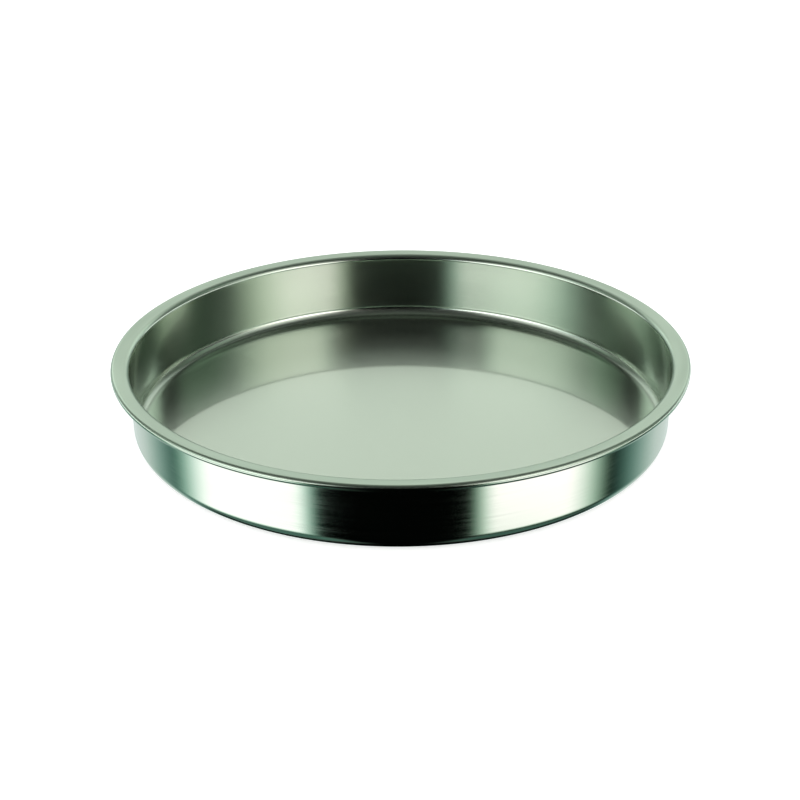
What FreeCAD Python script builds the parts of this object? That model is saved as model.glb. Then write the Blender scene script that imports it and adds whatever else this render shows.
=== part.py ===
"""Round low baking pan, drawn from one disc of stainless steel sheet.

Millimetres, +Z up. The origin is the centre of the flat underside, on the
surface that the pan stands on.

The whole pan is one sheet of even thickness. From the centre outwards it runs
along the flat floor, turns up through the corner bend into a wall that leans
outwards a little, turns out over the lip bend into a narrow flange that falls
slightly towards the pan, and ends in a hollow curl that is rolled down and
under, with its cut edge tucked up beneath the flange.
"""
import FreeCAD, Part
import Sketcher
import math
import os

NODE = "pan"

# alias, millimetres or degrees, what it is
SIZES = (
    ("rim_diameter", 320.0, "over the curl, the widest part of the pan"),
    ("pan_height", 41.4, "from the underside to the top of the curl"),
    ("sheet_thickness", 0.8, "thickness of the steel sheet, the same everywhere"),
    ("wall_lean", 1.0, "angle of the wall from the vertical, in degrees"),
    ("corner_radius", 6.2, "inside radius of the bend from floor to wall"),
    ("lip_radius", 2.4, "radius under the bend from wall to flange"),
    ("flange_flat", 5.3, "width of the flange between the lip bend and the curl"),
    ("flange_fall", 6.0, "slope of the flange, down from the curl to the lip, in degrees"),
    ("curl_radius", 1.0, "radius of the hollow inside the curl"),
    ("curl_gap", 0.4, "opening between the cut edge and the flange above it"),
)

# the points that a sketch edge can be held by, and the sketch's own origin
START, END, CENTRE = 1, 2, 3
ORIGIN_POINT = (-1, START)
FULL_TURN = 360


def make_sheet(doc):
    """Write the driving sizes to a spreadsheet, one named cell each."""
    sheet = doc.addObject("Spreadsheet::Sheet", "Sizes")
    for row, (alias, value, meaning) in enumerate(SIZES, start=1):
        sheet.set(f"A{row}", meaning)
        sheet.set(f"B{row}", str(value))
        sheet.setAlias(f"B{row}", alias)
    doc.recompute()
    return sheet


def origin_plane(body, role):
    """Return the body's own origin plane that has this role."""
    for feature in body.Origin.OriginFeatures:
        if feature.Role == role:
            return feature
    raise RuntimeError(f"{body.Label} has no {role}")


def around(centre, radius, angle):
    """Return the point at this radius and angle round a bend's centre."""
    return centre + FreeCAD.Vector(radius * math.cos(angle), radius * math.sin(angle), 0)


def bend(centre, radius, first, last):
    """Return the arc round a bend's centre, anticlockwise between two angles."""
    circle = Part.Circle(centre, FreeCAD.Vector(0, 0, 1), radius)
    return Part.ArcOfCircle(circle, first, last)


def draw_section(sketch, sheet):
    """Draw half of the pan's section, to the right of its axis, and name its edges."""
    thick = sheet.sheet_thickness
    lean, fall = math.radians(sheet.wall_lean), math.radians(sheet.flange_fall)
    down, wall_side = -math.pi / 2, math.pi - lean
    flange_side, along_flange = math.pi / 2 + fall, math.pi + fall
    corner, lip, curl = sheet.corner_radius, sheet.lip_radius, sheet.curl_radius

    curl_centre = FreeCAD.Vector(
        sheet.rim_diameter / 2 - thick - curl, sheet.pan_height - thick - curl, 0
    )
    lip_centre = around(curl_centre, curl - lip, flange_side)
    lip_centre = around(lip_centre, sheet.flange_flat, along_flange)
    across_wall = lip + thick + corner
    wall_rise = lip_centre.y - (thick + corner) + across_wall * math.sin(lean)
    corner_centre = around(lip_centre, across_wall, wall_side)
    corner_centre -= FreeCAD.Vector(wall_rise * math.tan(lean), wall_rise, 0)
    cut_edge = fall - math.pi - math.asin((curl - sheet.curl_gap) / (curl + thick))

    axis_foot = FreeCAD.Vector(0, 0, 0)
    axis_top = FreeCAD.Vector(0, thick, 0)
    line = Part.LineSegment
    edges = {
        "underside": line(axis_foot, around(corner_centre, corner + thick, down)),
        "corner_outside": bend(corner_centre, corner + thick, down, -lean),
        "wall_outside": line(
            around(corner_centre, corner + thick, -lean), around(lip_centre, lip, wall_side)
        ),
        "lip_underside": bend(lip_centre, lip, flange_side, wall_side),
        "flange_underside": line(
            around(lip_centre, lip, flange_side), around(curl_centre, curl, flange_side)
        ),
        "curl_inside": bend(curl_centre, curl, cut_edge, flange_side),
        "cut_edge": line(
            around(curl_centre, curl, cut_edge), around(curl_centre, curl + thick, cut_edge)
        ),
        "curl_outside": bend(curl_centre, curl + thick, cut_edge, flange_side),
        "flange_top": line(
            around(curl_centre, curl + thick, flange_side), around(lip_centre, lip + thick, flange_side)
        ),
        "lip_top": bend(lip_centre, lip + thick, flange_side, wall_side),
        "wall_inside": line(
            around(lip_centre, lip + thick, wall_side), around(corner_centre, corner, -lean)
        ),
        "corner_inside": bend(corner_centre, corner, down, -lean),
        "floor": line(around(corner_centre, corner, down), axis_top),
        "axis_side": line(axis_top, axis_foot),
    }
    return {name: sketch.addGeometry(edge) for name, edge in edges.items()}


def join_section(sketch, edge):
    """Close the outline, with every bend running smoothly into its neighbours."""
    smooth_joins = (
        ("underside", END, "corner_outside", START),
        ("corner_outside", END, "wall_outside", START),
        ("wall_outside", END, "lip_underside", END),
        ("lip_underside", START, "flange_underside", START),
        ("flange_underside", END, "curl_inside", END),
        ("curl_outside", END, "flange_top", START),
        ("flange_top", END, "lip_top", START),
        ("lip_top", END, "wall_inside", START),
        ("wall_inside", END, "corner_inside", END),
        ("corner_inside", START, "floor", START),
    )
    shared_points = (
        ("cut_edge", END, "curl_outside", START),
        ("floor", END, "axis_side", START),
        ("axis_side", END, "underside", START),
        ("corner_outside", CENTRE, "corner_inside", CENTRE),
        ("lip_underside", CENTRE, "lip_top", CENTRE),
        ("curl_inside", CENTRE, "curl_outside", CENTRE),
    )
    square_joins = (("curl_inside", START, "cut_edge", START),)
    for kind, joins in (
        ("Tangent", smooth_joins),
        ("Coincident", shared_points),
        ("Perpendicular", square_joins),
    ):
        for first, first_point, second, second_point in joins:
            held = (edge[first], first_point, edge[second], second_point)
            sketch.addConstraint(Sketcher.Constraint(kind, *held))
    sketch.addConstraint(Sketcher.Constraint("Coincident", edge["underside"], START, *ORIGIN_POINT))
    sketch.addConstraint(Sketcher.Constraint("Vertical", edge["axis_side"]))
    for name in ("underside", "floor"):
        sketch.addConstraint(Sketcher.Constraint("Horizontal", edge[name]))


def size_section(sketch, edge):
    """Give the outline its sizes, each one bound to the spreadsheet."""
    bound_sizes = (
        (
            "Rim",
            "DistanceX",
            ("curl_outside", CENTRE),
            "Sizes.rim_diameter / 2 - Sizes.curl_radius - Sizes.sheet_thickness",
        ),
        (
            "Height",
            "DistanceY",
            ("curl_outside", CENTRE),
            "Sizes.pan_height - Sizes.curl_radius - Sizes.sheet_thickness",
        ),
        ("Lean", "Angle", ("wall_outside",), "90 deg - Sizes.wall_lean * 1 deg"),
        ("CornerInside", "Radius", ("corner_inside",), "Sizes.corner_radius"),
        ("CornerOutside", "Radius", ("corner_outside",), "Sizes.corner_radius + Sizes.sheet_thickness"),
        ("LipUnder", "Radius", ("lip_underside",), "Sizes.lip_radius"),
        ("LipTop", "Radius", ("lip_top",), "Sizes.lip_radius + Sizes.sheet_thickness"),
        ("CurlInside", "Radius", ("curl_inside",), "Sizes.curl_radius"),
        ("CurlOutside", "Radius", ("curl_outside",), "Sizes.curl_radius + Sizes.sheet_thickness"),
        ("Flange", "Distance", ("flange_top",), "Sizes.flange_flat"),
        ("Fall", "Angle", ("flange_underside",), "Sizes.flange_fall * 1 deg"),
        ("Gap", "Distance", ("cut_edge", END, "flange_underside"), "Sizes.curl_gap"),
    )
    for name, kind, held, formula in bound_sizes:
        where = [edge.get(item, item) for item in held]
        value = float(sketch.evalExpression(formula))
        if kind == "Angle":
            value = math.radians(value)
        index = sketch.addConstraint(Sketcher.Constraint(kind, *where, value))
        sketch.renameConstraint(index, name)
        sketch.setExpression(f"Constraints.{name}", formula)


def make_pan(doc, sheet):
    """Spin the sheet's section once round the axis: floor, wall, flange and curl."""
    body = doc.addObject("PartDesign::Body", "Pan")
    body.Label = NODE
    section = body.newObject("Sketcher::SketchObject", "SheetSection")
    section.AttachmentSupport = [(origin_plane(body, "XZ_Plane"), "")]
    section.MapMode = "FlatFace"
    edge = draw_section(section, sheet)
    join_section(section, edge)
    size_section(section, edge)
    doc.recompute()
    if not section.FullyConstrained:
        raise RuntimeError(f"the section still has {section.DoF} ways to move")

    spun = body.newObject("PartDesign::Revolution", "DrawnSheet")
    spun.Profile = section
    spun.ReferenceAxis = (section, ["V_Axis"])
    spun.Angle = FULL_TURN
    body.Tip = spun
    return body


def check(doc, bodies):
    """Stop if anything failed to compute or a piece isn't one sound solid."""
    for item in doc.Objects:
        if "Invalid" in item.State or "Error" in item.State:
            raise RuntimeError(f"{item.Label} failed: {item.State}")
    for body in bodies:
        shape = body.Shape
        if shape.isNull() or not shape.isValid() or len(shape.Solids) != 1:
            raise RuntimeError(f"{body.Label} is not one sound solid")


doc = FreeCAD.newDocument("BakingPan")
sheet = make_sheet(doc)
pan = make_pan(doc, sheet)
doc.recompute()
check(doc, [pan])

os.makedirs("parts", exist_ok=True)
pan.Shape.exportStep(os.path.join("parts", f"{pan.Label}.step"))
box = pan.Shape.optimalBoundingBox()
print(f"{pan.Label}: {box.XLength:.2f} over the rim, {box.ZLength:.2f} high, {pan.Shape.Volume:.0f} mm3")
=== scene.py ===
import bmesh
import bpy
import math
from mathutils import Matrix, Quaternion, Vector


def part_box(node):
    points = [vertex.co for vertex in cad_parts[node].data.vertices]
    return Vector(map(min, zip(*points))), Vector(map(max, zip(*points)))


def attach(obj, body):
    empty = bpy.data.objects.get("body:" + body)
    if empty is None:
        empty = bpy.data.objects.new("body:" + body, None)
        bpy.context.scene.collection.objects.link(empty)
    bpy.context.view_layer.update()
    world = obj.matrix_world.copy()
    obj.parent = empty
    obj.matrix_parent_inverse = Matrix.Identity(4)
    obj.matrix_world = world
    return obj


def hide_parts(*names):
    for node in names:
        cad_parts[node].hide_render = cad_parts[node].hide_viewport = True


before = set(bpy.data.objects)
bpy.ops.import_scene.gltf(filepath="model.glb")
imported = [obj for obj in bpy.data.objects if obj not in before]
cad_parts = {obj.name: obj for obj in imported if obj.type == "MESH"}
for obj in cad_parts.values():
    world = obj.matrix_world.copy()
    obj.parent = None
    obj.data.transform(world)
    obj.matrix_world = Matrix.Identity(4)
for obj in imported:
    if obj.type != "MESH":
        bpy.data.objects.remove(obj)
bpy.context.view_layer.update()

# Pan: one round blank of 0.8 mm stainless sheet, drawn into a shallow pan with a flat floor
# and an almost upright wall. The lip turns out into a narrow flange that falls a little
# inwards, and the edge of the sheet is curled down under it, so no cut edge faces the hand.

pan_low, pan_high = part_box("pan")
rim_radius = min(pan_high.x, -pan_low.x, pan_high.y, -pan_low.y)
pan_height = pan_high.z - pan_low.z

# Radii, widths and the sheet's thickness are in metres, the lean and the fall in degrees.
sheet = 0.0008
wall_lean = 1.0
corner_inside = 0.0062
lip_inside = 0.0024
flange_flat = 0.0053
flange_fall = 6.0
curl_inside = 0.0010
curl_gap = 0.0004

# The mesh is this fine round the pan and round each bend. The flat floor has rings at three
# shares of its width and one close beside the bend. An edge sharper than 50 degrees stays crisp.
steps_round = 384
corner_steps = 24
lip_top_steps = 20
lip_under_steps = 16
curl_steps = 48
hollow_steps = 28
floor_shares = (0.25, 0.5, 0.75)
beside_bend = 0.0008
crisp_edge = 50


def beside(centre, distance, angle):
    """The point at this distance from another, at an angle in degrees."""
    turn = math.radians(angle)
    return (centre[0] + distance * math.cos(turn), centre[1] + distance * math.sin(turn))


def round_bend(centre, radius, first, last, steps):
    """Points along one bend of the section, from one angle to another, in degrees."""
    sweep = last - first
    return [beside(centre, radius, first + sweep * step / steps) for step in range(steps + 1)]


def straight_run(start, end, margin=0.0004):
    """Two points just inside the ends of a straight run, which keep it flat beside its bends."""
    share = margin / math.dist(start, end)
    near = (start[0] + (end[0] - start[0]) * share, start[1] + (end[1] - start[1]) * share)
    far = (end[0] + (start[0] - end[0]) * share, end[1] + (start[1] - end[1]) * share)
    return [near, far]


def sheet_section():
    """The cut through one side of the pan: along the inside, round the curl, back underneath."""
    curl_outside = curl_inside + sheet
    lip_outside = lip_inside + sheet
    corner_outside = corner_inside + sheet
    flange_side = 90 + flange_fall
    wall_side = 180 - wall_lean
    curl = (rim_radius - curl_outside, pan_height - curl_outside)
    lip = beside(curl, curl_inside - lip_inside, flange_side)
    lip = beside(lip, flange_flat, 180 + flange_fall)
    lean = math.radians(wall_lean)
    rise = lip[1] - corner_outside
    across = (lip_inside + corner_outside + rise * math.sin(lean)) / math.cos(lean)
    corner = (lip[0] - across, corner_outside)
    tucked = math.degrees(math.asin((curl_inside - curl_gap) / curl_outside))
    cut_edge = flange_fall - 180 - tucked
    inner_corner = round_bend(corner, corner_inside, -90, -wall_lean, corner_steps)
    inner_lip = round_bend(lip, lip_outside, wall_side, flange_side, lip_top_steps)
    outer_curl = round_bend(curl, curl_outside, flange_side, cut_edge, curl_steps)
    inner_curl = round_bend(curl, curl_inside, cut_edge, flange_side, hollow_steps)
    outer_lip = round_bend(lip, lip_inside, flange_side, wall_side, lip_under_steps)
    outer_corner = round_bend(corner, corner_outside, -wall_lean, -90, corner_steps)
    flat_rings = [corner[0] * share for share in floor_shares]
    flat_rings += [corner[0] - beside_bend]
    section = [(radius, sheet) for radius in flat_rings]
    section += inner_corner
    section += straight_run(inner_corner[-1], inner_lip[0])
    section += inner_lip
    section += straight_run(inner_lip[-1], outer_curl[0])
    section += outer_curl
    section += inner_curl
    section += straight_run(inner_curl[-1], outer_lip[0])
    section += outer_lip
    section += straight_run(outer_lip[-1], outer_corner[0])
    section += outer_corner
    section += [(radius, 0.0) for radius in reversed(flat_rings)]
    return section


def spin_sheet(section):
    """The section spun about the middle of the pan into a closed sheet."""
    shell = bmesh.new()
    rings = []
    for radius, height in section:
        ring = []
        for turn in range(steps_round):
            angle = 2 * math.pi * turn / steps_round
            across = radius * math.cos(angle)
            along = radius * math.sin(angle)
            ring.append(shell.verts.new((across, along, height)))
        rings.append(ring)
    for lower, upper in zip(rings, rings[1:]):
        for turn in range(steps_round):
            following = (turn + 1) % steps_round
            shell.faces.new((lower[turn], lower[following], upper[following], upper[turn]))
    for ring, height in ((rings[0], sheet), (rings[-1], 0.0)):
        middle = shell.verts.new((0.0, 0.0, height))
        for turn in range(steps_round):
            shell.faces.new((ring[turn], ring[(turn + 1) % steps_round], middle))
    bmesh.ops.recalc_face_normals(shell, faces=shell.faces)
    mesh = bpy.data.meshes.new("drawn_pan")
    shell.to_mesh(mesh)
    shell.free()
    mesh.shade_smooth()
    mesh.set_sharp_from_angle(angle=math.radians(crisp_edge))
    return mesh


bare_steel = (0.51, 0.58, 0.50, 1)
# The rim's darker steel is painted shade that dims the reflections of the flange and the curl.
rim_painted_shade = (0.42, 0.51, 0.42, 1)


def graded(tree, source, start, end, low=0.0, high=1.0, blend="SMOOTHSTEP"):
    """A value that goes from low to high while its source goes from start to end."""
    grade = tree.nodes.new("ShaderNodeMapRange")
    grade.interpolation_type = blend
    grade.inputs["From Min"].default_value = start
    grade.inputs["From Max"].default_value = end
    grade.inputs["To Min"].default_value = low
    grade.inputs["To Max"].default_value = high
    tree.links.new(source, grade.inputs["Value"])
    return grade.outputs["Result"]


def satin_steel():
    """Rolled stainless sheet: a hazy bright floor, fine lines round the wall, and duller bends."""
    steel = bpy.data.materials.new("satin_steel")
    steel.use_nodes = True
    tree = steel.node_tree
    nodes = tree.nodes
    links = tree.links
    shader = nodes["Principled BSDF"]
    shader.inputs["Metallic"].default_value = 1.0
    place = nodes.new("ShaderNodeTexCoord")
    apart = nodes.new("ShaderNodeSeparateXYZ")
    links.new(place.outputs["Object"], apart.inputs["Vector"])

    # The floor is a fine mix of bright and hazy grains.
    grain = nodes.new("ShaderNodeTexNoise")
    grain.inputs["Scale"].default_value = 5000.0
    grain.inputs["Detail"].default_value = 0.0
    links.new(place.outputs["Object"], grain.inputs["Vector"])
    floor_finish = graded(tree, grain.outputs["Fac"], 0.42, 0.50, 0.05, 0.38, "LINEAR")

    # The upright wall stays bright, and the sheet is duller where it leans over in a bend.
    facing = nodes.new("ShaderNodeNewGeometry")
    slope = nodes.new("ShaderNodeSeparateXYZ")
    links.new(facing.outputs["Normal"], slope.inputs["Vector"])
    stretched = graded(tree, slope.outputs["Z"], 0.25, 0.60, 0.13, 0.32)

    # Fine lines run round the wall, left by the drawing tool.
    along = nodes.new("ShaderNodeMapping")
    along.inputs["Scale"].default_value = (14.0, 14.0, 1600.0)
    links.new(place.outputs["Object"], along.inputs["Vector"])
    lines = nodes.new("ShaderNodeTexNoise")
    lines.inputs["Scale"].default_value = 1.0
    lines.inputs["Detail"].default_value = 3.0
    links.new(along.outputs["Vector"], lines.inputs["Vector"])
    scratch = graded(tree, lines.outputs["Fac"], 0.30, 0.70, -0.04, 0.04, "LINEAR")
    wall_finish = nodes.new("ShaderNodeMath")
    links.new(stretched, wall_finish.inputs[0])
    links.new(scratch, wall_finish.inputs[1])

    # The wall's finish takes over within the first 2 mm above the floor.
    finish = nodes.new("ShaderNodeMix")
    links.new(graded(tree, apart.outputs["Z"], 0.0009, 0.0020), finish.inputs["Factor"])
    links.new(floor_finish, finish.inputs["A"])
    links.new(wall_finish.outputs[0], finish.inputs["B"])
    links.new(finish.outputs["Result"], shader.inputs["Roughness"])

    # The flange and the curl get a darker steel: painted shade that dims their reflections.
    rim_shade_mask = graded(tree, apart.outputs["Z"], 0.90 * pan_height, 0.97 * pan_height)
    steel_and_rim_shade = nodes.new("ShaderNodeMix")
    steel_and_rim_shade.data_type = "RGBA"
    steel_and_rim_shade.inputs["A"].default_value = bare_steel
    steel_and_rim_shade.inputs["B"].default_value = rim_painted_shade
    links.new(rim_shade_mask, steel_and_rim_shade.inputs["Factor"])
    links.new(steel_and_rim_shade.outputs["Result"], shader.inputs["Base Color"])
    return steel


pan = bpy.data.objects.new("drawn_pan", spin_sheet(sheet_section()))
bpy.context.scene.collection.objects.link(pan)
pan.data.materials.append(satin_steel())
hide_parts("pan")
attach(pan, "root")

# Floor: a plain pale tabletop that the pan stands on. It is white in view and keeps the soft
# shadow under the pan. The steel doesn't show it: the tent's low cloths take its place there.

table_width = 8.0
under_pan = -0.0002
white_glow = 0.62
bpy.ops.mesh.primitive_plane_add(size=table_width, location=(0, 0, under_pan))
floor = bpy.context.object
floor.name = "tabletop"
white_top = bpy.data.materials.new("white_top")
white_top.use_nodes = True
top_nodes = white_top.node_tree.nodes
top_links = white_top.node_tree.links
paint = top_nodes["Principled BSDF"]
paint.inputs["Base Color"].default_value = (0.8, 0.8, 0.8, 1)
paint.inputs["Roughness"].default_value = 0.9
paint.inputs["Specular IOR Level"].default_value = 0.0
paint.inputs["Emission Color"].default_value = (1, 1, 1, 1)
seen = top_nodes.new("ShaderNodeLightPath")
glow = top_nodes.new("ShaderNodeMath")
glow.operation = "MULTIPLY"
glow.inputs[1].default_value = white_glow
top_links.new(seen.outputs["Is Camera Ray"], glow.inputs[0])
top_links.new(glow.outputs[0], paint.inputs["Emission Strength"])
floor.data.materials.append(white_top)
floor.visible_glossy = False

# Studio: a light tent round the table. Tall soft boxes stand at the front left and front
# right, white panels hang at the sides and behind, and the front between the boxes is black.
# The steel shows them as soft bands, because each panel fades out towards its edges.


def glowing_cloth(name, colour, edge_colour, strength, fades):
    """Lit cloth that lets light through from behind and fades out at its four edges."""
    cloth = bpy.data.materials.new(name)
    cloth.use_nodes = True
    tree = cloth.node_tree
    nodes = tree.nodes
    links = tree.links
    nodes.clear()
    place = nodes.new("ShaderNodeUVMap")
    apart = nodes.new("ShaderNodeSeparateXYZ")
    links.new(place.outputs["UV"], apart.inputs["Vector"])
    left, right, low, high = fades
    lit = graded(tree, apart.outputs["X"], 0, left)
    for axis, dark, full in (("X", 1, 1 - right), ("Y", 0, low), ("Y", 1, 1 - high)):
        both = nodes.new("ShaderNodeMath")
        both.operation = "MULTIPLY"
        links.new(graded(tree, apart.outputs[axis], dark, full), both.inputs[0])
        links.new(lit, both.inputs[1])
        lit = both.outputs[0]
    tint = nodes.new("ShaderNodeMix")
    tint.data_type = "RGBA"
    tint.inputs["A"].default_value = (*edge_colour, 1)
    tint.inputs["B"].default_value = (*colour, 1)
    links.new(lit, tint.inputs["Factor"])
    power = nodes.new("ShaderNodeMath")
    power.operation = "MULTIPLY"
    power.inputs[1].default_value = strength
    links.new(lit, power.inputs[0])
    lamp = nodes.new("ShaderNodeEmission")
    links.new(tint.outputs["Result"], lamp.inputs["Color"])
    links.new(power.outputs[0], lamp.inputs["Strength"])
    clear = nodes.new("ShaderNodeBsdfTransparent")
    together = nodes.new("ShaderNodeAddShader")
    links.new(lamp.outputs[0], together.inputs[0])
    links.new(clear.outputs[0], together.inputs[1])
    end = nodes.new("ShaderNodeOutputMaterial")
    links.new(together.outputs[0], end.inputs["Surface"])
    return cloth


# Each panel hangs a little farther out than the one before it, so that none of them touch.
tent = []
tent_distance = 6.0
tent_gap = 0.1
columns = 24
rows = 12
pale_green = (0.85, 1.0, 0.90)


def tent_panel(name, bearings, heights, fades, colour, strength, edge_colour=pale_green):
    """One curved panel of the tent. Bearings, heights and fades are in degrees seen from the
    pan: bearing 0 is the camera's side and 90 its right. The fades are left, right, low, high."""
    width = bearings[1] - bearings[0]
    tall = heights[1] - heights[0]
    distance = tent_distance + tent_gap * len(tent)
    panel = bmesh.new()
    unfolded = panel.loops.layers.uv.new("cloth")
    corners = []
    for column in range(columns + 1):
        bearing = math.radians(bearings[0] + width * column / columns)
        line = []
        for row in range(rows + 1):
            height = math.radians(heights[0] + tall * row / rows)
            reach = distance * math.cos(height)
            across = reach * math.sin(bearing)
            back = -reach * math.cos(bearing)
            line.append(panel.verts.new((across, back, distance * math.sin(height))))
        corners.append(line)
    for column in range(columns):
        for row in range(rows):
            patch = ((column, row), (column + 1, row), (column + 1, row + 1), (column, row + 1))
            face = panel.faces.new([corners[side][up] for side, up in patch])
            for loop, (side, up) in zip(face.loops, patch):
                loop[unfolded].uv = (side / columns, up / rows)
    mesh = bpy.data.meshes.new(name)
    panel.to_mesh(mesh)
    panel.free()
    piece = bpy.data.objects.new(name, mesh)
    bpy.context.scene.collection.objects.link(piece)
    shares = (fades[0] / width, fades[1] / width, fades[2] / tall, fades[3] / tall)
    piece.data.materials.append(glowing_cloth(name, colour, edge_colour, strength, shares))
    piece.visible_camera = False
    piece.visible_diffuse = False
    piece.visible_shadow = False
    tent.append(piece)


# The soft boxes at the front left, from the glow they throw low down to their tops.
tent_panel(
    "left_low", (-112, -33), (-47, -4),
    (28, 12, 16, 12), (1.0, 0.93, 0.98), 2.1, (0.5, 1.0, 0.8),
)
tent_panel("left_middle", (-134, -26), (-6, 12), (12, 16, 6, 3), (1.0, 0.98, 0.98), 2.3)
tent_panel(
    "left_bright", (-100, -18), (9, 24),
    (42, 14, 5, 5), (1.0, 0.91, 0.96), 3.5, (0.7, 1.0, 0.9),
)
tent_panel("left_high", (-122, -36), (21, 36), (50, 14, 5, 4), (1.0, 0.96, 0.96), 1.9)
tent_panel("left_top", (-106, -44), (34, 54), (24, 8, 5, 10), (1.0, 1.0, 0.96), 0.8)

# The soft boxes at the front right, from the glow they throw low down to their tops.
tent_panel(
    "right_low", (27, 99), (-42, -3),
    (13, 29, 14, 14), (1.0, 0.84, 0.92), 2.4, (0.6, 1.0, 0.75),
)
tent_panel("right_middle", (22, 144), (-5, 13), (14, 8, 5, 6), (1.0, 0.97, 0.98), 2.0)
tent_panel(
    "right_bright", (20, 86), (10, 24),
    (14, 38, 3, 4), (1.0, 0.84, 0.91), 3.7, (0.9, 1.0, 0.8),
)
tent_panel("right_high", (28, 100), (20, 36), (14, 38, 5, 4), (1.0, 0.94, 0.92), 1.8)
tent_panel("right_top", (32, 104), (36, 54), (14, 30, 4, 10), (1.0, 0.99, 0.96), 1.15)

# The white panels behind the pan, from low down to the top.
tent_panel(
    "back_low", (93, 264), (-52, 8),
    (46, 46, 12, 8), (0.90, 1.0, 0.98), 0.88, (0.4, 1.0, 0.85),
)
tent_panel("back_middle", (128, 232), (6, 24), (12, 12, 8, 6), (0.96, 1.0, 0.95), 1.1)
tent_panel("back_high", (136, 224), (17, 38), (26, 26, 7, 7), (0.96, 1.0, 0.94), 1.25)
tent_panel("back_lamp", (134, 226), (30, 52), (20, 20, 10, 6), (0.96, 1.0, 0.94), 0.66)
tent_panel("back_top", (112, 248), (48, 80), (20, 20, 12, 16), (0.96, 1.0, 0.94), 0.42)

# The dim green cloths beside and above the pan.
tent_panel("right_dim", (84, 132), (23, 52), (14, 18, 6, 14), (0.7, 1.0, 0.75), 0.46)
tent_panel("left_dim", (-132, -92), (23, 52), (18, 14, 6, 14), (0.7, 1.0, 0.75), 0.46)
tent_panel("overhead", (-190, 190), (58, 90), (20, 20, 20, 1), (0.90, 1.0, 0.90), 0.12)

# The two strips at the back corners of the tent.
tent_panel("right_corner", (136, 166), (10, 40), (9, 12, 6, 12), (0.92, 1.0, 0.94), 0.85)
tent_panel("left_corner", (-166, -136), (10, 40), (12, 9, 6, 12), (0.92, 1.0, 0.94), 0.85)

# The faint glow from under the edge of the table.
tent_panel("left_below", (-126, -24), (-84, -38), (24, 16, 20, 14), (0.5, 1.0, 0.85), 0.22)
tent_panel("right_below", (26, 126), (-84, -38), (16, 24, 20, 14), (0.5, 1.0, 0.85), 0.17)

# The room beyond the tent is white to the eye and almost black in the steel.
room = bpy.data.worlds.new("studio_room")
bpy.context.scene.world = room
room.use_nodes = True
room_nodes = room.node_tree.nodes
room_links = room.node_tree.links
dark_room = room_nodes["Background"]
dark_room.inputs["Color"].default_value = (0.30, 0.55, 0.42, 1)
dark_room.inputs["Strength"].default_value = 0.002
white_room = room_nodes.new("ShaderNodeBackground")
white_room.inputs["Color"].default_value = (1, 1, 1, 1)
white_room.inputs["Strength"].default_value = 1.0
pick_room = room_nodes.new("ShaderNodeMixShader")
looked = room_nodes.new("ShaderNodeLightPath")
room_links.new(looked.outputs["Is Glossy Ray"], pick_room.inputs[0])
room_links.new(white_room.outputs[0], pick_room.inputs[1])
room_links.new(dark_room.outputs[0], pick_room.inputs[2])
room_links.new(pick_room.outputs[0], room_nodes["World Output"].inputs["Surface"])

# Camera: a tripod at the front, looking down into the pan at about 26 degrees. It stands
# about 0.85 m from the pan and leans a touch to one side.

tripod = bpy.data.cameras.new("camera")
tripod.lens = 67.3
tripod.sensor_width = 36.0
camera = bpy.data.objects.new("camera", tripod)
bpy.context.scene.collection.objects.link(camera)
camera.location = (0.0, -0.76562, 0.37763)
look_at = Vector((-0.00043, -0.02300, 0.0200))
aim = (look_at - camera.location).to_track_quat("-Z", "Y")
camera.rotation_mode = "QUATERNION"
camera.rotation_quaternion = aim @ Quaternion((0, 0, 1), math.radians(-0.4294))
bpy.context.scene.camera = camera
bpy.context.scene.view_settings.view_transform = "Standard"
